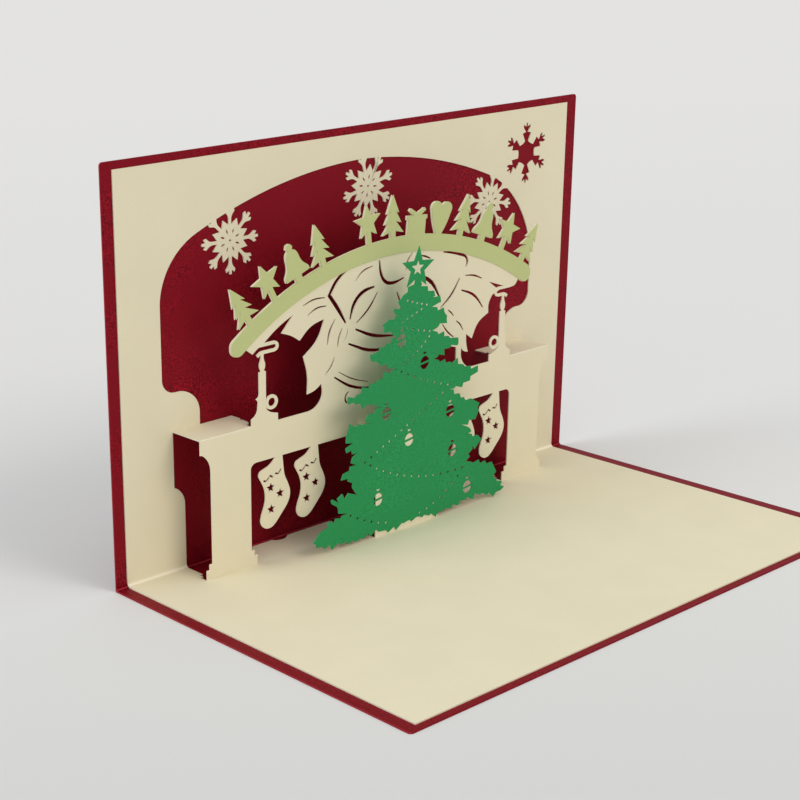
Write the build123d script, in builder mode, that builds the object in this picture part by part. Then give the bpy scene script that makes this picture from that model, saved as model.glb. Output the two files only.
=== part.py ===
from build123d import *
from math import asin, cos, degrees, hypot, radians, sin, sqrt, tan
import os

# Card. The origin is the middle of the base panel's underside, the fold runs along X at the back,
# and the card stands with its base panel down and its back panel up.
card_width = 150.0
panel_depth = 100.0
opening_angle = 86.5
cover_thickness = 0.4
cover_corner_radius = 0.8
cover_fold_radius = 0.3

# Inner sheet, glued into the cover a little off its middle, with a border of cover round it.
sheet_thickness = 0.3
sheet_width = 143.4
sheet_top_margin = 2.0
sheet_front_margin = 2.0
sheet_shift = -0.4
sheet_fold_radius = 1.0
pattern_shift = -0.9

# Mantelpiece, the front panel that pops up, with its fold lines parallel to the card's fold.
step_depth = 10.5
mantel_height = 34.9
mantel_overhang = 2.9
mantel_lip_height = 3.5
mantel_lip_step = 0.4
mantel_cove_height = 4.4
pillar_half_span = 54.5
foot_height = 3.95
foot_step_height = 1.4
foot_step_width = 0.85
hearth_half_width = 43.1
hearth_height = 25.9
hearth_corner_radius = 1.6
hearth_edge = 0.8

# Support tab in front of the mantelpiece, which carries the tree.
tab_half_width = 10.5
tab_reach = 7.4
tab_rise = 1.4

# Window in the back panel.
window_half_width = 60.0
shelf_fold_length = 7.7
window_border = 6.3

# Candles on the shelf ends, and the stockings that hang from the mantelpiece.
candle_offset = 39.4
candle_height = 12.8
candle_radius = 1.0
candle_foot_reach = 3.3
left_smoke_reach = 4.9
right_smoke_reach = 3.2
smoke_width = 0.8
stocking_places = (-34.6, -23.7, 27.3, 38.2)
stocking_stars = ((-2.6, -7.4), (0.2, -9.5), (-2.5, -12.9))
stocking_star_radius = 1.35
stocking_cuff_slit = 0.5

# Crisp folds are rounds with this many sides.
fold_sides = 6

# Small curves are cut in short chords, which turn by about this angle in radians from one to the next.
chord_turn = 0.6
slit_end_share = 0.45

# Arch banner over the bow, glued on the front panel.
accent_thickness = 0.25
banner_rise = 38.2
banner_outer_radius = 81.8
banner_width = 4.1
banner_end_width = 5.5
banner_half_span = 48.6
banner_end_radius = 1.9
banner_centre = 1.3
banner_shift = 0.3
ornament_height = 10.5
ornament_root = 1.0
# Rows of ornaments: first and last place as a share of the banner's half span, and their kinds.
ornament_groups = (
    (-0.885, -0.44, ("fir", "star", "bell", "fir")),
    (-0.15, 0.93, ("star", "fir", "gift", "heart", "fir", "bell", "star", "fir")),
)

# Tree, glued on the tab.
tree_shift = 1.9
tree_star_radius = 5.4
tree_star_height = 66.5
tree_star_hole_radius = 2.2
tree_clearance = 0.3
needle_length = 1.6
needle_pitch = 2.5
needle_notch = 0.35
garland_hole_radius = 0.42
bauble_width = 3.2
bauble_height = 3.7
bauble_band = 0.4
bauble_places = (
    (-11.8, 10.2),
    (18.8, 5.6),
    (13.1, 17.0),
    (-1.8, 23.4),
    (12.0, 27.8),
    (-9.5, 31.9),
    (2.9, 42.3),
    (-4.8, 49.4),
)

# Rows of garland holes: first, middle and last place on each row's arc, and the number of holes.
garland_rows = (
    ((-3.1, 59.0), (0.0, 57.9), (3.2, 56.9), 5),
    ((1.5, 56.1), (-1.6, 55.0), (-4.6, 54.0), 5),
    ((-4.8, 52.6), (-0.2, 51.2), (4.4, 50.0), 6),
    ((4.3, 48.7), (0.8, 45.9), (-3.7, 43.2), 7),
    ((-4.8, 41.5), (2.8, 37.9), (11.0, 34.9), 8),
    ((9.3, 33.0), (-4.0, 26.6), (-16.2, 20.9), 14),
    ((-14.5, 19.7), (2.0, 12.8), (16.8, 11.4), 14),
    ((15.3, 9.5), (10.5, 5.9), (2.3, 2.9), 7),
    ((-20.7, 8.3), (-15.2, 5.4), (-9.1, 3.3), 6),
)

# Snowflakes that hang from the window's edge: place along the window, drop below the edge there, and turn.
# One more is cut out beside the window, a drop below its top and a gap beside its edge at the lowest tip.
snowflake_radius = 8.0
snowflake_places = ((-40.1, 6.92, 0), (1.8, 6.82, 15), (43.9, 6.98, -11))
snowflake_cut_gap = 7.12
snowflake_cut_drop = 5.5

# Fold lines. Every sheet is laid out on its mid-surface, and a fold is a round of the sheet's thickness.
# The layouts share one flat pattern: height on the back panel is positive, depth on the base negative.
turn = radians(opening_angle)
up_panel = Vector(0, -cos(turn), sin(turn))
out_of_panel = Vector(0, -sin(turn), -cos(turn))
corner_slope = (1 + cos(turn)) / sin(turn)
cover_fold = Vector(0, panel_depth / 2 - cover_thickness / 2, cover_thickness / 2)
sheet_offset = (cover_thickness + sheet_thickness) / 2
sheet_fold = cover_fold + Vector(0, -sheet_offset * corner_slope, sheet_offset)
sheet_half = sheet_thickness / 2
pattern_origin = sheet_fold + Vector(pattern_shift, 0, 0)
sheet_top = panel_depth - sheet_top_margin - cover_thickness
sheet_front = -panel_depth + sheet_front_margin + cover_thickness
sheet_centre = sheet_shift - pattern_shift
window_height = sheet_top - window_border
mantel_half_width = pillar_half_span + mantel_overhang
shelf_fold_end = mantel_half_width - shelf_fold_length
tab_depth = step_depth + tab_reach
tab_height = hearth_height + tab_rise
fold_bead_radius = 0.4 * sheet_fold_radius


def upright_plane(depth, lift):
    """Plane with Y up the back panel, the given depth along the base in front of it.

    The lift is a distance at right angles to the panel, from the middle of the sheet at that depth.
    """
    origin = pattern_origin - Vector(0, depth, 0) + out_of_panel * lift
    return Plane(origin, x_dir=(1, 0, 0), z_dir=out_of_panel)


def level_plane(height):
    """Underside of a sheet parallel to the base panel, at the given height up the back panel."""
    origin = pattern_origin + up_panel * height - Vector(0, 0, sheet_half)
    return Plane(origin, x_dir=(1, 0, 0), z_dir=(0, 0, 1))


def fold_point(depth, height):
    """Place in the YZ plane of a fold line, the given depth in front of the back panel."""
    place = sheet_fold - Vector(0, depth, 0) + up_panel * height
    return (place.Y, place.Z)


def bend(*points):
    """Short chords along an arc through each three points in turn, for the small curves of a cut-out."""
    chords = [points[0]]
    for start, middle, end in zip(points[::2], points[1::2], points[2::2]):
        arc = ThreePointArc(start, middle, end, mode=Mode.PRIVATE)
        steps = max(2, round(arc.length / arc.radius / chord_turn))
        for step in range(1, steps + 1):
            spot = arc @ (step / steps)
            chords.append((spot.X, spot.Y))
    return chords


def stroke(spots, width, end_share=1.0):
    """Strip of even width along the spots, with its two ends narrowed to a share of the width."""
    last = len(spots) - 1
    left = []
    right = []
    for number, (x, y) in enumerate(spots):
        before = spots[max(number - 1, 0)]
        after = spots[min(number + 1, last)]
        reach = width / 2 * (end_share if number in (0, last) else 1)
        reach /= hypot(after[0] - before[0], after[1] - before[1])
        left.append((x - (after[1] - before[1]) * reach, y + (after[0] - before[0]) * reach))
        right.append((x + (after[1] - before[1]) * reach, y - (after[0] - before[0]) * reach))
    with BuildSketch() as strip:
        with BuildLine():
            Polyline(*left, *reversed(right), close=True)
        make_face()
    return strip.sketch


def slit(*points, width):
    """Cut line of even width with pointed ends, on an arc through each three points in turn."""
    return stroke(bend(*points), width, slit_end_share)


def star(radius, waist=0.42, turned=0):
    """A five-pointed star."""
    corners = []
    for corner in range(10):
        reach = radius if corner % 2 == 0 else radius * waist
        angle = radians(90 + turned + 36 * corner)
        corners.append((reach * cos(angle), reach * sin(angle)))
    with BuildSketch() as shape:
        with BuildLine():
            Polyline(*corners, close=True)
        make_face()
    return shape.sketch


def mantel_outline():
    """Mantelpiece with its pillars, from the foot fold up to the shelf fold."""
    cove_top = mantel_height - mantel_lip_height
    cove_bottom = cove_top - mantel_cove_height
    cove_edge = mantel_half_width - mantel_lip_step
    cove_middle = pillar_half_span + (cove_edge - pillar_half_span) * 0.35
    foot_middle = foot_height - foot_step_height
    with BuildSketch() as outline:
        with BuildLine():
            Polyline(
                (0, mantel_height),
                (-mantel_half_width, mantel_height),
                (-mantel_half_width, cove_top),
                (-cove_edge, cove_top),
            )
            ThreePointArc(
                (-cove_edge, cove_top),
                (-cove_middle, cove_top - mantel_cove_height * 0.35),
                (-pillar_half_span, cove_bottom),
            )
            Polyline(
                (-pillar_half_span, cove_bottom),
                (-pillar_half_span, foot_height),
                (-pillar_half_span - foot_step_width, foot_height),
                (-pillar_half_span - foot_step_width, foot_middle),
                (-pillar_half_span - 2 * foot_step_width, foot_middle),
                (-pillar_half_span - 2 * foot_step_width, 0),
                (0, 0),
                (0, mantel_height),
            )
        make_face()
        mirror(about=Plane.YZ)
    return outline.sketch


def hearth_outline():
    """Opening between the pillars, narrowed by their stepped feet."""
    foot_middle = foot_height - foot_step_height
    with BuildSketch() as outline:
        with BuildLine():
            Polyline(
                (0, hearth_height),
                (-hearth_half_width, hearth_height),
                (-hearth_half_width, foot_height),
                (-hearth_half_width + foot_step_width, foot_height),
                (-hearth_half_width + foot_step_width, foot_middle),
                (-hearth_half_width + 2 * foot_step_width, foot_middle),
                (-hearth_half_width + 2 * foot_step_width, 0),
                (0, 0),
                (0, hearth_height),
            )
        make_face()
        mirror(about=Plane.YZ)
        fillet(outline.vertices().group_by(Axis.Y)[-1], hearth_corner_radius)
    return outline.sketch


def stocking_outline():
    """Stocking that hangs from the origin by its right-hand corner, with the toe to the left."""
    cuff = bend((-0.9, 0.3), (-2.4, -1.4), (-5.2, -2.4), (-6.2, -3.2), (-5.9, -4.5))
    shin = bend((-5.9, -4.5), (-4.3, -7.6), (-4.2, -10.6))
    toe = bend((-5.5, -13.8), (-4.5, -17.4), (-1.2, -16.7))
    heel = bend((2.6, -12.5), (3.4, -9.9), (2.7, -7.6), (1.4, -5.0), (1.2, -2.6))
    with BuildSketch() as outline:
        with BuildLine():
            Polyline(*cuff, *shin[1:], *toe, *heel, (0.9, 0.3), close=True)
        make_face()
    return outline.sketch


def stocking_cuts():
    """Wavy lines along the stocking's cuff, and the stars cut out of its leg."""
    long_wave = [(-4.8, -5.1), (-4.1, -5.5), (-3.4, -5.0), (-2.8, -4.3), (-1.9, -4.9)]
    short_wave = [(-1.3, -4.1), (-0.3, -4.4), (0.5, -3.4)]
    with BuildSketch() as cuts:
        add(stroke(long_wave, stocking_cuff_slit))
        add(stroke(short_wave, stocking_cuff_slit))
        with Locations(*stocking_stars):
            add(star(stocking_star_radius, waist=0.48))
    return cuts.sketch


def candle(smoke_reach):
    """Candle in a holder with a ring handle, its smoke curling over to the right."""
    neck = 0.4
    wick = candle_height + 0.1
    flame = candle_height + 1.5
    flame_top = candle_height + 3.1
    smoke = candle_height + 4.6
    smoke_top = smoke + 1.8
    curl = smoke_reach - (smoke_top - smoke + smoke_width) / 2
    curl_end = (smoke_reach - smoke_width / 2, (smoke + smoke_top) / 2)
    holder = bend((-2.2, 2.4), (-1.6, 3.2), (-1.4, 4.6))
    dish = bend((candle_radius, 3.6), (2.0, 2.6), (3.4, 2.1))
    with BuildSketch() as outline:
        with BuildLine():
            Polyline(
                (-candle_foot_reach, -1),
                (-candle_foot_reach, 1.8),
                *holder,
                (-1.3, 5.9),
                (-1.9, 6.4),
                (-candle_radius, 7.0),
                (-candle_radius, candle_height),
                (-neck, wick),
                (-candle_radius, flame),
                (-neck, flame_top),
                (-neck, smoke),
                (neck, smoke),
                (neck, flame_top),
                (candle_radius, flame),
                (neck, wick),
                (candle_radius, candle_height),
                *dish,
                (4.5, 1.8),
                (4.5, -1),
                close=True,
            )
        make_face()
        with Locations((2.7, 4.9)):
            RegularPolygon(1.95, 8)
            RegularPolygon(1.15, 7, mode=Mode.SUBTRACT)
        with Locations((0, 4.9)):
            Rectangle(2 * candle_radius, 4.2)
        hook = bend((curl, smoke), curl_end, (curl, smoke_top))
        add(stroke([(-1.4, smoke - 0.7), (-0.5, smoke), *hook, (-2.4, smoke_top)], smoke_width))
    return outline.sketch


def arch_height(place, drop):
    """Height of the arch over the mantelpiece at a place along it, a drop below its outer edge."""
    sag = banner_outer_radius - sqrt(banner_outer_radius**2 - (place - banner_centre) ** 2)
    return banner_rise - drop - sag


def bow_outline():
    """Bow with its ribbon tails up to the arch above it, standing on the mantelpiece at the origin."""
    band_middle = banner_width / 2
    right_end = (45.8, arch_height(45.8, band_middle))
    left_end = (-46.4, arch_height(-46.4, band_middle))
    right_bell = bend((27.6, 0), (24.9, 2.5), (24.7, 5.8), (25.7, 4.6), (27.1, 4.3), (26.4, 6.6), (26.3, 9.2))
    right_loop = bend((28.4, 7.6), (30.0, 11.4), (34.1, 13.4), (34.4, 16.9), (37.8, 18.7))
    right_tail = [(34.0, 21.6), (41.6, 18.8), (43.7, 19.0), (44.9, 20.9)]
    left_tail = [(-45.9, 18.5), (-44.2, 19.1), (-42.2, 17.5), (-40.9, 18.5)]
    left_loop = bend((-38.9, 19.6), (-34.9, 22.6), (-30.1, 24.8))
    left_fold = bend((-33.7, 20.9), (-30.7, 19.8), (-28.3, 18.1), (-25.0, 21.2), (-20.8, 22.0))
    left_bell = bend((-20.8, 22.0), (-22.9, 16.8), (-27.2, 13.9), (-25.8, 9.2), (-26.1, 4.4))
    left_mouth = bend((-26.1, 4.4), (-23.7, 4.8), (-21.7, 6.2), (-21.8, 2.0), (-24.6, 0))
    left_side = left_tail + left_loop + left_fold + left_bell[1:] + left_mouth[1:]
    with BuildSketch() as outline:
        with BuildLine():
            Polyline((27.6, -1), *right_bell, *right_loop, *right_tail, right_end)
            ThreePointArc(right_end, (banner_centre, banner_rise - band_middle), left_end)
            Polyline(left_end, *left_side, (-24.6, -1), (27.6, -1))
        make_face()
        with BuildLine():
            Line((22.9, 1.3), (22.9, 6.3))
            ThreePointArc((22.9, 6.3), (12.0, 7.6), (2.9, 4.0))
            ThreePointArc((2.9, 4.0), (11.0, 0.9), (22.9, 1.3))
        make_face(mode=Mode.SUBTRACT)
    return outline.sketch


def bow_slits():
    """Slits that draw the folds of the bow and the stripes and mouths of its two bells."""
    return [
        slit((-27.3, 26.3), (-24.1, 27.4), (-20.5, 27.1), width=0.55),
        slit((-25.9, 23.7), (-23.1, 25.2), (-20.1, 25.0), width=0.55),
        slit((-13.6, 32.9), (-17.6, 30.3), (-19.3, 27.4), (-16.9, 24.2), (-14.1, 19.6), width=1.2),
        slit((-17.5, 21.3), (-19.3, 18.7), (-19.9, 15.4), width=0.65),
        slit((-15.3, 18.7), (-16.4, 16.5), (-16.7, 14.2), width=0.55),
        slit((-13.6, 18.1), (-13.8, 16.4), (-14.9, 15.2), width=0.3),
        slit((-17.7, 11.9), (-18.8, 9.5), (-20.6, 8.1), width=0.55),
        slit((-16.3, 7.9), (-11.4, 4.9), (-6.5, 3.4), width=0.35),
        slit((-17.7, 6.9), (-12.3, 3.0), (-4.5, 1.6), width=0.85),
        slit((-12.9, 2.3), (-14.2, 1.0), (-13.3, -0.7), width=0.65),
        slit((-5.0, 27.1), (-11.9, 23.9), (-12.8, 20.3), width=1.2),
        slit((-4.1, 25.6), (-6.6, 21.9), (-10.7, 19.1), width=0.85),
        slit((-11.3, 29.5), (-9.3, 31.5), (-5.7, 32.3), width=0.55),
        slit((-3.6, 33.4), (-3.3, 30.3), (-1.8, 27.4), (1.4, 26.8), (4.5, 27.7), width=0.95),
        slit((2.2, 24.5), (3.6, 21.6), (3.9, 17.2), width=0.85),
        slit((-11.1, 17.6), (-6.2, 15.0), (1.5, 13.6), width=1.0),
        slit((-13.3, 14.4), (-8.0, 11.4), (2.8, 11.2), width=1.0),
        slit((6.5, 13.8), (11.0, 14.6), (15.5, 16.8), width=0.85),
        slit((7.2, 33.5), (5.5, 31.9), (5.1, 29.4), width=0.65),
        slit((9.8, 32.4), (11.6, 31.9), (13.4, 31.0), width=0.55),
        slit((7.4, 27.8), (14.4, 25.1), (16.8, 20.3), width=1.2),
        slit((17.0, 17.7), (20.6, 20.1), (23.5, 24.4), width=0.85),
        slit((17.6, 32.0), (21.8, 31.1), (25.1, 29.9), (26.1, 28.3), (25.5, 26.9), width=0.75),
        slit((25.4, 24.7), (28.6, 24.3), (31.5, 22.9), width=0.55),
        slit((24.2, 21.1), (28.8, 19.4), (32.1, 15.1), width=0.85),
        slit((19.6, 16.8), (20.8, 15.9), (21.8, 14.8), width=0.5),
        slit((22.6, 13.4), (24.2, 12.2), (25.2, 10.3), width=0.55),
        slit((17.8, 13.4), (19.5, 11.1), (22.0, 9.1), width=0.55),
    ]


def fir():
    """Small fir tree of three tiers on a stem."""
    stem = ornament_height * 0.07
    outline = [(stem, -ornament_root)]
    for tier in range(3):
        foot = ornament_height * (0.16 + 0.24 * tier)
        spread = ornament_height * (0.32 - 0.07 * tier)
        outline += [(stem, foot), (spread, foot - stem)]
    mirrored = [(-x, y) for x, y in reversed(outline)]
    with BuildSketch() as shape:
        with BuildLine():
            Polyline(*outline, (0, ornament_height), *mirrored, close=True)
        make_face()
    return shape.sketch


def heart():
    """Heart standing on its point."""
    lobe = ornament_height * 0.165
    height = ornament_height * 0.6
    side = bend((0.4, -ornament_root), (lobe * 1.3, height * 0.4), (2 * lobe, height))
    top = bend((2 * lobe, height), (lobe, height + lobe), (0, height * 0.95))
    with BuildSketch() as shape:
        with BuildLine():
            Polyline((0, -ornament_root), *side, *top[1:], close=True)
        make_face()
        mirror(about=Plane.YZ)
    return shape.sketch


def bell():
    """Bell with a flared mouth and a ring at its top, standing on its clapper."""
    height = ornament_height * 0.8
    mouth = ornament_height * 0.34
    lip = ornament_height * 0.13
    clapper = ornament_height * 0.09
    waist = bend((mouth, 1.7 * lip), (mouth * 0.62, height * 0.45), (mouth * 0.5, height * 0.8))
    with BuildSketch() as shape:
        with BuildLine():
            Polyline(
                (0, -ornament_root),
                (clapper, -ornament_root),
                (clapper, lip),
                (mouth, lip),
                *waist,
                (mouth * 0.35, height * 0.93),
                (0, height),
                close=True,
            )
        make_face()
        mirror(about=Plane.YZ)
        with Locations((0, height + clapper / 2)):
            RegularPolygon(clapper, 6)
    return shape.sketch


def gift():
    """Gift box with its lid and a bow of two loops."""
    side = ornament_height * 0.27
    lid = ornament_height * 0.45
    loop = ornament_height * 0.62
    with BuildSketch() as shape:
        with BuildLine():
            Polyline(
                (0, -ornament_root),
                (side, -ornament_root),
                (side, lid - 1),
                (side * 1.15, lid - 1),
                (side * 1.15, lid),
                (side * 0.4, lid),
                (side * 0.95, loop - 0.6),
                (side * 0.8, loop),
                (0, lid + 0.5),
                (0, -ornament_root),
            )
        make_face()
        mirror(about=Plane.YZ)
    return shape.sketch


def standing_star():
    """Star on a short stem."""
    rise = ornament_height * 0.52
    with BuildSketch() as shape:
        with Locations((0, rise / 2 - ornament_root)):
            Rectangle(ornament_height * 0.12, rise)
        with Locations((0, rise)):
            add(star(ornament_height * 0.4))
    return shape.sketch


def ornament_row():
    """Row of ornaments in two groups along the arch, which stands over the mantelpiece at the origin."""
    shapes = {"fir": fir(), "heart": heart(), "bell": bell(), "gift": gift(), "star": standing_star()}
    with BuildSketch() as row:
        for first, last, names in ornament_groups:
            pitch = (last - first) / (len(names) - 1)
            for number, name in enumerate(names):
                place = (first + pitch * number) * banner_half_span
                lean = -degrees(asin((place - banner_centre) / banner_outer_radius))
                with Locations(Location((place, arch_height(place, 0), 0), (0, 0, lean))):
                    add(shapes[name])
    return row.sketch


def banner_band():
    """Arched band, a little wider at its rounded ends than in the middle."""
    end_slope = asin((banner_half_span + abs(banner_centre)) / banner_outer_radius)
    end_half_width = banner_end_width * cos(end_slope) / 2
    with BuildSketch() as band:
        with BuildLine():
            ends = (-banner_half_span, banner_half_span)
            outer = [(end, arch_height(end, 0)) for end in ends]
            inner = [(end, arch_height(end, banner_end_width)) for end in ends]
            ThreePointArc(outer[0], (banner_centre, banner_rise), outer[1])
            ThreePointArc(inner[0], (banner_centre, banner_rise - banner_width), inner[1])
            Line(outer[0], inner[0])
            Line(outer[1], inner[1])
        make_face()
        fillet(band.vertices(), min(banner_end_radius, 0.98 * end_half_width))
    return band.sketch


def snowflake(arms, half_arm, between):
    """Snowflake from half an arm's outline, tip first, with the point between two arms.

    Places across and along the arm are shares of the snowflake's radius.
    """
    outline = []
    for arm in range(arms):
        angle = radians(90 + 360 / arms * arm)
        gap = angle + radians(180 / arms)
        sides = [*reversed(half_arm), *((-across, along) for across, along in half_arm)]
        for across, along in sides:
            x = along * cos(angle) + across * sin(angle)
            y = along * sin(angle) - across * cos(angle)
            outline.append((x, y))
        outline.append((between * cos(gap), between * sin(gap)))
    with BuildSketch() as flake:
        with BuildLine():
            Polyline(*((x * snowflake_radius, y * snowflake_radius) for x, y in outline), close=True)
        make_face()
    return flake.sketch


def pierced_snowflake():
    """Snowflake of eight arms with short points between them, and a ring of slots in its hub."""
    arms = 8
    half_arm = ((0.035, 1.0), (0.05, 0.87), (0.14, 0.94), (0.17, 0.85), (0.045, 0.7), (0.05, 0.46))
    slot_length = snowflake_radius * 0.09
    slot_width = snowflake_radius * 0.036
    with BuildSketch() as flake:
        add(snowflake(arms, half_arm, 0.66))
        with PolarLocations(snowflake_radius * 0.28, arms, start_angle=90 + 180 / arms):
            Polygon(
                (-slot_length, 0),
                (0, slot_width),
                (slot_length, 0),
                (0, -slot_width),
                align=None,
                mode=Mode.SUBTRACT,
            )
        RegularPolygon(snowflake_radius * 0.045, 4, mode=Mode.SUBTRACT)
    return flake.sketch


def cut_snowflake():
    """Snowflake of six arms with two pairs of barbs each."""
    half_arm = (
        (0.03, 1.0),
        (0.045, 0.88),
        (0.15, 0.95),
        (0.17, 0.86),
        (0.05, 0.7),
        (0.2, 0.66),
        (0.08, 0.4),
    )
    return snowflake(6, half_arm, 0.36)


def window_outline():
    """Window in the back panel: the mantelpiece's own outline below, and an arched top over it."""
    cove = mantel_height + 3.6
    ledge = mantel_height + 9.4
    side = mantel_height + 13.4
    edge = window_half_width
    top = window_height
    rise = top - side
    left_start = side + 0.41 * rise
    right_start = side + 0.27 * rise
    left_shoulder = (10.5 - edge, top - 0.25 * rise)
    right_shoulder = (edge - 14.5, top - 0.24 * rise)
    with BuildSketch() as outline:
        with Locations((0, -step_depth)):
            add(mantel_outline())
        with Locations((0, mantel_height - step_depth / 2)):
            Rectangle(2 * mantel_half_width, step_depth)
        for sign in (-1, 1):
            with BuildLine():
                Line((0, mantel_height), (sign * shelf_fold_end, mantel_height))
                Line((sign * shelf_fold_end, mantel_height), (sign * shelf_fold_end, cove))
                ThreePointArc(
                    (sign * shelf_fold_end, cove),
                    (sign * (shelf_fold_end + 1.8), (cove + ledge) / 2 + 1.2),
                    (sign * (edge - 4), ledge),
                )
                ThreePointArc(
                    (sign * (edge - 4), ledge),
                    (sign * (edge - 1), ledge + 1.1),
                    (sign * edge, side),
                )
                Polyline((sign * edge, side), (0, side), (0, mantel_height))
            make_face()
        with BuildLine():
            Polyline((edge, right_start), (edge, side), (-edge, side), (-edge, left_start))
            ThreePointArc((-edge, left_start), (2.8 - edge, top - 0.4 * rise), left_shoulder)
            ThreePointArc(left_shoulder, (-0.43 * edge, top - 0.067 * rise), (-1, top))
            ThreePointArc((-1, top), (0.4 * edge, top - 0.072 * rise), right_shoulder)
            ThreePointArc(right_shoulder, (edge - 4.5, top - 0.46 * rise), (edge, right_start))
        make_face()
    return outline.sketch


def window_top(place):
    """Height of the window's upper edge at a place along it."""
    column = Line((place, mantel_height), (place, sheet_top))
    return (column & window_shape).bounding_box().max.Y


def window_side(height):
    """Place of the window's right-hand edge at a height."""
    row = Line((0, height), (card_width / 2, height))
    return (row & window_shape).bounding_box().max.X


def needled(points):
    """Outline through the points with a fringe of needles that lean towards the branch tips."""
    fringe = []
    count = 0
    for start, end in zip(points, points[1:]):
        run = hypot(end[0] - start[0], end[1] - start[1])
        along = ((end[0] - start[0]) / run, (end[1] - start[1]) / run)
        outwards = abs(end[0]) > abs(start[0])
        needles = max(1, round(run / needle_pitch))
        for needle in range(needles):
            count += 1
            tip = (needle + (0.75 if outwards else 0.25)) / needles
            reach = tip if outwards else 1 - tip
            length = needle_length * (0.65 + 0.35 * sin(2.4 * count)) * (0.45 + 0.55 * reach)
            for place, out in ((needle / needles, -needle_notch), (tip, length - needle_notch)):
                x = start[0] + along[0] * run * place + along[1] * out
                y = start[1] + along[1] * run * place - along[0] * out
                fringe.append((x, max(y, tree_clearance)))
    return fringe + [points[-1]]


def tree_outline():
    """Fir tree with ragged branches, standing on the origin."""
    left_side = [
        (-1.2, 62.9),
        (-5.3, 59.9),
        (-5.2, 57.6),
        (-7.8, 57.2),
        (-5.0, 55.6),
        (-9.7, 55.2),
        (-10.7, 53.6),
        (-6.4, 50.5),
        (-12.3, 48.4),
        (-15.0, 46.4),
        (-9.8, 44.2),
        (-6.4, 42.8),
        (-10.8, 41.5),
        (-17.6, 39.2),
        (-22.0, 37.6),
        (-17.8, 36.0),
        (-10.9, 34.2),
        (-15.9, 32.5),
        (-14.4, 30.9),
        (-21.8, 31.0),
        (-22.4, 28.4),
        (-20.3, 27.1),
        (-22.5, 25.2),
        (-18.8, 24.4),
        (-20.6, 22.7),
        (-19.2, 21.3),
        (-23.4, 19.4),
        (-20.4, 16.4),
        (-18.8, 13.6),
        (-22.4, 13.4),
        (-23.7, 14.8),
        (-24.5, 13.0),
        (-27.2, 13.6),
        (-24.8, 11.2),
        (-21.8, 9.5),
        (-28.1, 7.5),
        (-31.4, 5.9),
        (-31.6, 3.5),
        (-29.6, 2.4),
    ]
    foot_edge = [
        (-17.4, 1.1),
        (-12.4, 2.1),
        (-9.0, 1.0),
        (1.4, 1.9),
        (8.6, 1.0),
        (21.6, 2.7),
        (29.4, 1.0),
        (31.8, 1.6),
        (31.4, 3.0),
    ]
    right_side = [
        (28.4, 6.2),
        (28.1, 9.8),
        (18.3, 12.7),
        (20.0, 16.2),
        (21.6, 15.4),
        (22.7, 18.7),
        (18.0, 19.8),
        (19.6, 21.4),
        (16.2, 22.8),
        (21.6, 24.0),
        (21.9, 26.4),
        (20.2, 29.2),
        (14.5, 30.1),
        (15.6, 31.2),
        (11.1, 33.2),
        (16.5, 33.9),
        (21.5, 36.4),
        (14.4, 39.9),
        (5.9, 42.2),
        (9.4, 44.1),
        (14.4, 45.2),
        (11.4, 47.2),
        (5.4, 49.7),
        (10.2, 52.3),
        (9.2, 54.2),
        (4.9, 55.7),
        (8.0, 57.1),
        (5.1, 58.1),
        (5.9, 59.2),
        (1.3, 61.9),
        (1.2, 62.9),
    ]
    edge = needled(left_side + foot_edge + right_side)
    with BuildSketch() as outline:
        with BuildLine():
            Polyline(*edge, (0, tree_star_height), close=True)
        make_face()
        with Locations((0, tree_star_height)):
            add(star(tree_star_radius, turned=-4))
            add(star(tree_star_hole_radius, turned=-4), mode=Mode.SUBTRACT)
    return outline.sketch


def bauble():
    """Cut-out of a hanging bauble, with a band left across it and a cap above it."""
    cap_foot = bauble_height / 2 + 0.3
    cap_top = cap_foot + 0.6
    corners = 8
    turns = [radians(360 / corners * (corner + 0.5)) for corner in range(corners)]
    with BuildSketch() as cut:
        with BuildLine():
            Polyline(*((bauble_width / 2 * cos(t), bauble_height / 2 * sin(t)) for t in turns), close=True)
        make_face()
        Rectangle(2 * bauble_width, bauble_band, rotation=8, mode=Mode.SUBTRACT)
        with BuildLine():
            Polyline((0.4, cap_foot), (0.7, cap_top), (-0.7, cap_top), (-0.4, cap_foot), close=True)
        make_face()
    return cut.sketch


garland_places = []
for row_start, row_middle, row_end, holes in garland_rows:
    row_arc = ThreePointArc(row_start, row_middle, row_end)
    for hole in range(holes):
        spot = row_arc @ (hole / (holes - 1))
        garland_places.append((spot.X, spot.Y))

with BuildSketch() as front_outline:
    add(mantel_outline())
    add(hearth_outline(), mode=Mode.SUBTRACT)
front_shape = front_outline.sketch

with BuildSketch() as mirrored_candle:
    add(candle(right_smoke_reach))
    mirror(about=Plane.YZ, mode=Mode.REPLACE)
left_candle = candle(left_smoke_reach)
right_candle = mirrored_candle.sketch

stocking_shape = stocking_outline()
stocking_holes = stocking_cuts()
bow_shape = bow_outline()
bow_lines = bow_slits()
band = banner_band()
ornaments = ornament_row()
window_shape = window_outline()
flake = pierced_snowflake()
cut_flake = cut_snowflake()
flake_spots = []
for place, drop, turned in snowflake_places:
    flake_spots.append(Location((place, window_top(place) - drop, 0), (0, 0, turned)))
cut_flake_height = window_height - snowflake_cut_drop
cut_flake_place = window_side(cut_flake_height - snowflake_radius) + snowflake_cut_gap
tree_shape = tree_outline()
bauble_shape = bauble()

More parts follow.
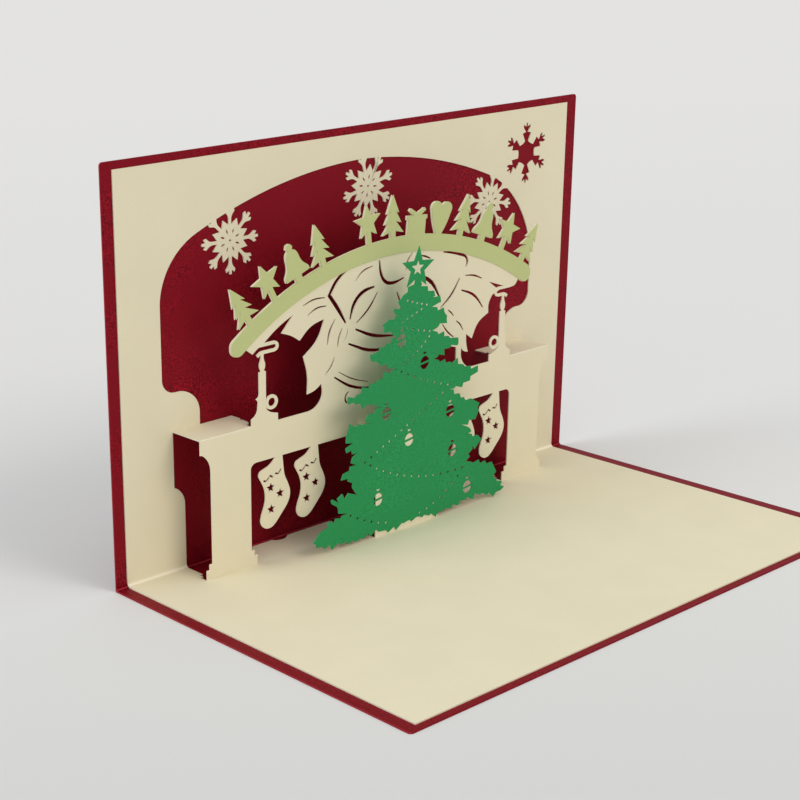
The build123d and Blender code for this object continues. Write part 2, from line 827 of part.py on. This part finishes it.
# Cover: one card folded along the spine, with the bead that scoring raises inside the fold.
with BuildPart() as cover:
    cover_top = cover_fold + up_panel * (panel_depth - cover_thickness / 2)
    bead = cover_fold + Vector(0, -corner_slope, 1) * (cover_thickness / 2)
    with BuildSketch(Plane.YZ.offset(-card_width / 2)):
        with BuildLine():
            FilletPolyline(
                (-panel_depth / 2, cover_fold.Z),
                (cover_fold.Y, cover_fold.Z),
                (cover_top.Y, cover_top.Z),
                radius=cover_fold_radius,
            )
        trace(line_width=cover_thickness)
        with Locations((bead.Y, bead.Z)):
            Circle(fold_bead_radius)
    extrude(amount=card_width)
    fillet(cover.edges().filter_by(Axis.Z).group_by(Axis.Y)[0], cover_corner_radius)
    across_sheet = cover.edges().filter_by(Axis((0, 0, 0), out_of_panel))
    fillet(across_sheet.group_by(Axis.Z)[-1], cover_corner_radius)
cover.part.label = "cover"

# Inner sheet: one sheet, cut and folded, out of which the mantelpiece and its tab pop up.
# Base, shelves, tab and folds come first, then the back panel and the mantelpiece's front.
with BuildPart() as inner_sheet:
    fold_reach = sheet_fold_radius / tan(turn / 2)
    with BuildSketch(level_plane(0)):
        with Locations((sheet_centre, (sheet_front - fold_reach) / 2)):
            Rectangle(sheet_width, -sheet_front - fold_reach)
        with Locations((0, -(step_depth + hearth_edge) / 2)):
            Rectangle(2 * pillar_half_span, step_depth - hearth_edge)
        with Locations((0, -step_depth)):
            add(front_shape, mode=Mode.SUBTRACT)
        with Locations(*[(place, hearth_height - step_depth) for place in stocking_places]):
            add(stocking_shape, mode=Mode.SUBTRACT)
        with Locations((0, -tab_depth / 2)):
            Rectangle(2 * tab_half_width, tab_depth, mode=Mode.SUBTRACT)
    extrude(amount=sheet_thickness)
    with BuildSketch(level_plane(mantel_height)):
        for sign in (-1, 1):
            with Locations((sign * (mantel_half_width + candle_offset) / 2, -step_depth / 2)):
                Rectangle(mantel_half_width - candle_offset, step_depth)
        with Locations((-candle_offset, -step_depth)):
            add(left_candle, mode=Mode.SUBTRACT)
        with Locations((candle_offset, -step_depth)):
            add(right_candle, mode=Mode.SUBTRACT)
    extrude(amount=sheet_thickness)
    with BuildSketch(upright_plane(tab_depth, -sheet_half)):
        with Locations((0, tab_height / 2)):
            Rectangle(2 * tab_half_width, tab_height)
    extrude(amount=sheet_thickness)
    with BuildSketch(level_plane(tab_height)):
        with Locations((0, -step_depth - tab_reach / 2)):
            Rectangle(2 * tab_half_width, tab_reach)
    extrude(amount=sheet_thickness)
    sheet_ends = (sheet_centre - sheet_width / 2, sheet_centre + sheet_width / 2)
    for start, end in ((sheet_ends[0], -pillar_half_span), (pillar_half_span, sheet_ends[1])):
        with BuildSketch(Plane.YZ.offset(pattern_shift + start)):
            with BuildLine():
                FilletPolyline(
                    fold_point(2 * fold_reach, 0),
                    fold_point(0, 0),
                    fold_point(0, 2 * fold_reach),
                    radius=sheet_fold_radius,
                )
            trace(line_width=sheet_thickness)
        extrude(amount=end - start)
    foot_reach = 2 * foot_step_width
    # Crisp folds: inner and outer end on each side of the middle, depth and height.
    side_folds = (
        (shelf_fold_end, mantel_half_width, 0, mantel_height),
        (candle_offset + candle_foot_reach, mantel_half_width, step_depth, mantel_height),
        (hearth_half_width - foot_reach, pillar_half_span + foot_reach, step_depth, 0),
    )
    for inner, outer, depth, height in side_folds:
        with BuildSketch(Plane.YZ.offset(pattern_shift + inner), Plane.YZ.offset(pattern_shift - outer)):
            with Locations(fold_point(depth, height)):
                RegularPolygon(sheet_half, fold_sides)
        extrude(amount=outer - inner)
    with BuildSketch(Plane.YZ.offset(pattern_shift - tab_half_width)):
        with Locations(
            fold_point(tab_depth, 0),
            fold_point(tab_depth, tab_height),
            fold_point(step_depth, tab_height),
        ):
            RegularPolygon(sheet_half, fold_sides)
    extrude(amount=2 * tab_half_width)
    with BuildSketch(upright_plane(0, -sheet_half)):
        with Locations((sheet_centre, (sheet_top + fold_reach) / 2)):
            Rectangle(sheet_width, sheet_top - fold_reach)
        add(window_shape, mode=Mode.SUBTRACT)
        with Locations(*flake_spots):
            add(flake)
        with Locations((cut_flake_place, cut_flake_height)):
            add(cut_flake, mode=Mode.SUBTRACT)
    extrude(amount=sheet_thickness)
    with BuildSketch(upright_plane(step_depth, -sheet_half)):
        add(front_shape)
        with Locations((-candle_offset, mantel_height)):
            add(left_candle)
        with Locations((candle_offset, mantel_height)):
            add(right_candle)
        with Locations((0, mantel_height)):
            add(bow_shape)
            add(band)
            add(ornaments)
            add(bow_lines, mode=Mode.SUBTRACT)
        with Locations(*[(place, hearth_height) for place in stocking_places]):
            add(stocking_shape)
            add(stocking_holes, mode=Mode.SUBTRACT)
        with Locations((0, hearth_height + tab_rise / 2)):
            Rectangle(2 * tab_half_width, tab_rise, mode=Mode.SUBTRACT)
    extrude(amount=sheet_thickness)
inner_sheet.part.label = "inner_sheet"

# Arch banner: one piece with its ornaments, glued on the front of the bow panel.
with BuildPart() as arch_banner:
    with BuildSketch(upright_plane(step_depth, sheet_half)):
        with Locations((banner_shift, mantel_height)):
            add(band)
            add(ornaments)
    extrude(amount=accent_thickness)
arch_banner.part.label = "arch_banner"

# Tree: one piece, glued on the front of the tab.
with BuildPart() as tree:
    with BuildSketch(upright_plane(tab_depth, sheet_half)):
        with Locations((tree_shift, 0)):
            add(tree_shape)
        with Locations(*[(tree_shift + x, y) for x, y in bauble_places]):
            add(bauble_shape, mode=Mode.SUBTRACT)
        with Locations(*[(tree_shift + x, y) for x, y in garland_places]):
            RegularPolygon(garland_hole_radius, 4, mode=Mode.SUBTRACT)
    extrude(amount=accent_thickness)
tree.part.label = "tree"

os.makedirs("parts", exist_ok=True)
for piece in (cover, inner_sheet, arch_banner, tree):
    export_step(piece.part, f"parts/{piece.part.label}.step")
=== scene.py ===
import math

import bmesh
import bpy
from mathutils import Matrix, Vector


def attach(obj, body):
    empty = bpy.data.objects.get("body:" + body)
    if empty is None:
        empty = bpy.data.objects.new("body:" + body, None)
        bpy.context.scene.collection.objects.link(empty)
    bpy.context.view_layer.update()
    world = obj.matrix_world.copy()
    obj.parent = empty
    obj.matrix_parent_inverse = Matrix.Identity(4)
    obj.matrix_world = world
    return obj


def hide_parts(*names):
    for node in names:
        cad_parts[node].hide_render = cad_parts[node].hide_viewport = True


# Camera: the photograph's viewpoint, worked out from the card's corners and cut lines
IMAGE_SIZE = 800
FOCAL_PIXELS = 1750.7
SENSOR_WIDTH = 36.0
CAMERA_PLACE = (-0.2764, -0.2728, 0.1553)
CAMERA_AIM = (-0.01571, 0.01624, 0.040)
CAMERA_ROLL = -1.51
NEAREST_SEEN = 0.01
FARTHEST_SEEN = 20.0

# Floor: pale grey out to the horizon and painted a little darker near the viewer, as painted shade for the
# light's fall-off.
# Each tone has its distance from the card's middle, in metres away from the viewer.
FLOOR_SIZE = 30.0
FLOOR_SHADE_TONES = (
    (-0.11, (0.715, 0.727, 0.722)),
    (0.02, (0.785, 0.79, 0.785)),
    (0.9, (0.825, 0.825, 0.825)),
)

# Soft studio light: an even room light and three lamps. Each lamp has the direction towards it, a strength,
# a spread in degrees and a colour.
ROOM_STRENGTH = 0.56
ROOM_COLOUR = (0.98, 1.0, 1.0)
LAMPS = {
    "front": ((0.20, -0.78, 0.59), 0.76, 26.0, (1.1, 0.98, 0.88)),
    "left": ((-0.78, 0.25, 0.57), 0.56, 30.0, (1.0, 1.0, 1.0)),
    "overhead": ((0.0, -0.12, 0.99), 0.40, 80.0, (1.0, 1.0, 1.0)),
}

# Paper colours, with a lighter tone painted on the cut edges as a highlight
CREAM = (0.83, 0.77, 0.575)
CREAM_EDGE_HIGHLIGHT = (0.93, 0.88, 0.70)
CARD_RED = (0.25, 0.006, 0.016)
CARD_EDGE_HIGHLIGHT = (0.42, 0.03, 0.045)
PALE_GREEN = (0.55, 0.60, 0.28)
PALE_EDGE_HIGHLIGHT = (0.72, 0.76, 0.45)
FIR_GREEN = (0.030, 0.30, 0.10)
FIR_EDGE_HIGHLIGHT = (0.07, 0.42, 0.18)

# Noise in a paper's colour: its fineness per metre, its detail, and its levels at the two ends of the colours
FIBRES = (2400.0, 2.0, 0.3, 0.7)
CLOUDS = (60.0, 2.0, 0.35, 0.65)

# The slow clouds darken a paper down to this share of its colour.
CLOUD_DEPTH = 0.975

# Tooth of a paper's surface: its fineness per metre, its detail, and its height in metres
TOOTH_SCALE = 4200.0
TOOTH_DETAIL = 3.0
TOOTH_HEIGHT = 0.00004

# Ways that the folded sheets face: level, and square to the open card's upright panels. What faces neither
# way, by the cosine of the nearer one, is a cut edge.
OPENING = math.radians(86.5)
LEVEL = (0.0, 0.0, 1.0)
UPRIGHT = (0.0, math.sin(OPENING), math.cos(OPENING))
FACE_COSINE = 0.9

# Cut sheets, whose small curves are short chords in the frame. Each has its thickness in metres, then its
# paper: material slot, colour, colour of the painted highlight on the cut edges, depth of the grain and
# strength of the tooth.
CUT_SHEETS = {
    "inner_sheet": (0.0003, "sheet_paper", CREAM, CREAM_EDGE_HIGHLIGHT, 0.015, 0.2),
    "arch_banner": (0.00025, "banner_paper", PALE_GREEN, PALE_EDGE_HIGHLIGHT, 0.03, 0.25),
    "tree": (0.00025, "tree_paper", FIR_GREEN, FIR_EDGE_HIGHLIGHT, 0.22, 0.4),
}

# A corner between two chords is rounded where it turns by less than the steepest bend of a curve, in
# radians. The rounding takes a share of the shorter chord, and corners of about the same reach, which is
# in metres, are rounded together.
SHALLOWEST_BEND = 0.02
STEEPEST_BEND = 1.0
ROUNDED_SHARE = 0.46
ROUNDED_SEGMENTS = 3
SHORTEST_REACH = 0.00002
REACH_STEP = 1.2

# Corners nearer than the weld gap are one, faces within the flat angle are one, and an edge that runs
# through a sheet is as long as the sheet is thick, within a share of it.
WELD_GAP = 1e-7
FLAT_ANGLE = math.radians(0.2)
THROUGH_SHARE = 0.02


def shader(name):
    """A new node material, with its tree and its Principled shader."""
    material = bpy.data.materials.new(name)
    material.use_nodes = True
    tree = material.node_tree
    return material, tree, tree.nodes["Principled BSDF"]


def node(tree, kind, inputs=None, **settings):
    """A node with its settings, and its inputs as values or as links from other sockets."""
    made = tree.nodes.new(kind)
    for key, value in settings.items():
        setattr(made, key, value)
    for key, value in (inputs or {}).items():
        if isinstance(value, bpy.types.NodeSocket):
            tree.links.new(value, made.inputs[key])
        else:
            made.inputs[key].default_value = value
    return made


def stretch(tree, value, low, high):
    """A share that runs from 0 to 1 while a value runs from low to high."""
    span = {"Value": value, "From Min": low, "From Max": high}
    return node(tree, "ShaderNodeMapRange", span).outputs["Result"]


def tint(tree, share, low, high):
    """Colour between two, by a share from 0 to 1."""
    blend = node(tree, "ShaderNodeMix", {"Factor": share}, data_type="RGBA")
    for name, colour in (("A", low), ("B", high)):
        if isinstance(colour, tuple):
            blend.inputs[name].default_value = (*colour, 1)
        else:
            tree.links.new(colour, blend.inputs[name])
    return blend.outputs["Result"]


def grain(tree, place, scale, detail, low, high):
    """Noise that runs from 0 to 1 between two of its levels."""
    noise = node(tree, "ShaderNodeTexNoise", {"Vector": place, "Scale": scale, "Detail": detail})
    return stretch(tree, noise.outputs["Fac"], low, high)


def cut_edge(tree):
    """1 on the thin cut edges of a folded sheet, where the painted highlight goes, and 0 on its faces, which
    are all level or upright.
    """
    normal = node(tree, "ShaderNodeNewGeometry").outputs["True Normal"]
    facing = []
    for way in (LEVEL, UPRIGHT):
        along = node(tree, "ShaderNodeVectorMath", {0: normal, 1: way}, operation="DOT_PRODUCT")
        share = node(tree, "ShaderNodeMath", {0: along.outputs["Value"]}, operation="ABSOLUTE")
        facing.append(share.outputs["Value"])
    nearer = node(tree, "ShaderNodeMath", {0: facing[0], 1: facing[1]}, operation="MAXIMUM")
    turned = {0: nearer.outputs["Value"], 1: FACE_COSINE}
    return node(tree, "ShaderNodeMath", turned, operation="LESS_THAN").outputs["Value"]


def paper(name, colour, edge, grain_depth, tooth, roughness=0.9, metallic=0.0, specular=0.1):
    """Dyed paper: a fine grain in its colour, a slow mottle, a highlight painted lighter on the cut edge and
    a tooth.
    """
    material, tree, principled = shader(name)
    place = node(tree, "ShaderNodeTexCoord").outputs["Object"]
    dark = tuple(c * (1 - grain_depth) for c in colour)
    light = tuple(c * (1 + grain_depth) for c in colour)
    clouded = tuple(c * CLOUD_DEPTH for c in colour)
    body = tint(tree, grain(tree, place, *FIBRES), dark, light)
    body = tint(tree, grain(tree, place, *CLOUDS), clouded, body)
    # The cut edges take the lighter edge colour: a painted highlight.
    tree.links.new(tint(tree, cut_edge(tree), body, edge), principled.inputs["Base Color"])
    principled.inputs["Roughness"].default_value = roughness
    principled.inputs["Metallic"].default_value = metallic
    principled.inputs["Specular IOR Level"].default_value = specular
    felt = node(tree, "ShaderNodeTexNoise", {"Vector": place, "Scale": TOOTH_SCALE, "Detail": TOOTH_DETAIL})
    relief = {"Height": felt.outputs["Fac"], "Strength": tooth, "Distance": TOOTH_HEIGHT}
    tree.links.new(node(tree, "ShaderNodeBump", relief).outputs["Normal"], principled.inputs["Normal"])
    return material


def reach_level(edge, thickness):
    """How far a corner of a cut edge is rounded, counted in steps of reach, or 0 where it stays as it is."""
    if abs(edge.calc_length() / thickness - 1) > THROUGH_SHARE:
        return 0
    turn = edge.calc_face_angle(0)
    beside = [side.edge for loop in edge.link_loops for side in (loop.link_loop_next, loop.link_loop_prev)]
    reach = ROUNDED_SHARE * min(chord.calc_length() for chord in beside)
    if not SHALLOWEST_BEND < turn < STEEPEST_BEND or reach < SHORTEST_REACH:
        return 0
    return 1 + int(math.log(reach / SHORTEST_REACH) / math.log(REACH_STEP))


def round_corners(work, thickness):
    """Blends the chords of the small curves into each other, from the shortest reach to the longest."""
    level = work.edges.layers.int.new("reach_level")
    for edge in work.edges:
        edge[level] = reach_level(edge, thickness)
    for number in range(1, 1 + max(edge[level] for edge in work.edges)):
        bmesh.ops.bevel(
            work,
            geom=[edge for edge in work.edges if edge[level] == number],
            offset=SHORTEST_REACH * REACH_STEP ** (number - 1),
            offset_type="OFFSET",
            segments=ROUNDED_SEGMENTS,
            profile=0.5,
            affect="EDGES",
        )


def add_sheet(name, thickness):
    """A cut sheet that stands for its CAD node, with the corners of its small curves rounded."""
    work = bmesh.new()
    work.from_mesh(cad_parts[name].data)
    bmesh.ops.remove_doubles(work, verts=work.verts, dist=WELD_GAP)
    bmesh.ops.dissolve_limit(work, angle_limit=FLAT_ANGLE, verts=work.verts, edges=work.edges)
    round_corners(work, thickness)
    bmesh.ops.triangulate(work, faces=work.faces)
    for face in work.faces:
        face.smooth = False
    mesh = bpy.data.meshes.new(name + "_cut")
    work.to_mesh(mesh)
    work.free()
    piece = bpy.data.objects.new(name + "_cut", mesh)
    bpy.context.collection.objects.link(piece)
    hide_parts(name)
    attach(piece, "root")
    return piece


def add_sheets():
    """The three cut sheets in their papers."""
    for name, (thickness, slot, *finish) in CUT_SHEETS.items():
        sheet = add_sheet(name, thickness)
        sheet.data.materials.append(paper(slot, *finish))


def dress_cover():
    """Gives the cover its pearl card, a little metallic and smoother than the papers, with a highlight
    painted on its cut edges.
    """
    card = paper(
        "cover_card", CARD_RED, CARD_EDGE_HIGHLIGHT, grain_depth=0.6, tooth=0.5, roughness=0.5, metallic=0.35
    )
    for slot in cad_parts["cover"].material_slots:
        slot.material = card


def add_camera():
    """The camera at the photograph's viewpoint."""
    camera_data = bpy.data.cameras.new("camera")
    camera_data.sensor_width = SENSOR_WIDTH
    camera_data.lens = FOCAL_PIXELS / IMAGE_SIZE * SENSOR_WIDTH
    camera_data.clip_start = NEAREST_SEEN
    camera_data.clip_end = FARTHEST_SEEN
    camera = bpy.data.objects.new("camera", camera_data)
    bpy.context.collection.objects.link(camera)
    towards = Vector(CAMERA_AIM) - Vector(CAMERA_PLACE)
    turn = towards.to_track_quat("-Z", "Y").to_matrix().to_4x4()
    roll = Matrix.Rotation(math.radians(CAMERA_ROLL), 4, "Z")
    camera.matrix_world = Matrix.Translation(CAMERA_PLACE) @ turn @ roll
    bpy.context.scene.camera = camera


def add_floor():
    """A matt floor whose tone changes with the distance from the photograph's viewpoint: painted shade,
    darker near the viewer.
    """
    bpy.ops.mesh.primitive_plane_add(size=FLOOR_SIZE, location=(0, 0, 0))
    floor = bpy.context.object
    floor.name = "floor"
    material, tree, principled = shader("floor_grey")
    place = node(tree, "ShaderNodeTexCoord").outputs["Object"]
    away = Vector(CAMERA_AIM) - Vector(CAMERA_PLACE)
    away.z = 0
    reach = node(tree, "ShaderNodeVectorMath", {0: place, 1: away.normalized()}, operation="DOT_PRODUCT")
    tone = FLOOR_SHADE_TONES[0][1]
    for (near, _), (far, colour) in zip(FLOOR_SHADE_TONES, FLOOR_SHADE_TONES[1:]):
        tone = tint(tree, stretch(tree, reach.outputs["Value"], near, far), tone, colour)
    tree.links.new(tone, principled.inputs["Base Color"])
    principled.inputs["Roughness"].default_value = 1.0
    principled.inputs["Specular IOR Level"].default_value = 0.0
    floor.data.materials.append(material)


def add_lamp(name, direction, strength, spread, colour):
    """A distant lamp seen in the given direction, with its apparent size in degrees."""
    light_data = bpy.data.lights.new(name, "SUN")
    light_data.energy = strength
    light_data.color = colour
    light_data.angle = math.radians(spread)
    light = bpy.data.objects.new(name, light_data)
    bpy.context.collection.objects.link(light)
    light.matrix_world = (-Vector(direction)).to_track_quat("-Z", "Y").to_matrix().to_4x4()


def add_lights():
    """The even light of the room and the lamps."""
    world = bpy.data.worlds.new("studio")
    bpy.context.scene.world = world
    world.use_nodes = True
    room = world.node_tree.nodes["Background"]
    room.inputs["Color"].default_value = (*ROOM_COLOUR, 1)
    room.inputs["Strength"].default_value = ROOM_STRENGTH
    for name, lamp in LAMPS.items():
        add_lamp(name, *lamp)


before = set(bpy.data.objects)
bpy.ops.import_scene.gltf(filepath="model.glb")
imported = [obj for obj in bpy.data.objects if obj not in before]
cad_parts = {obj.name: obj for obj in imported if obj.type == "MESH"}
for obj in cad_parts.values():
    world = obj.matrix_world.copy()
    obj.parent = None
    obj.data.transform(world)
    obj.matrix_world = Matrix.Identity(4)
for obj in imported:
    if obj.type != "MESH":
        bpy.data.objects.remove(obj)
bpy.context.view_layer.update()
bpy.context.scene.view_settings.view_transform = "Standard"

dress_cover()
add_sheets()
add_camera()
add_floor()
add_lights()
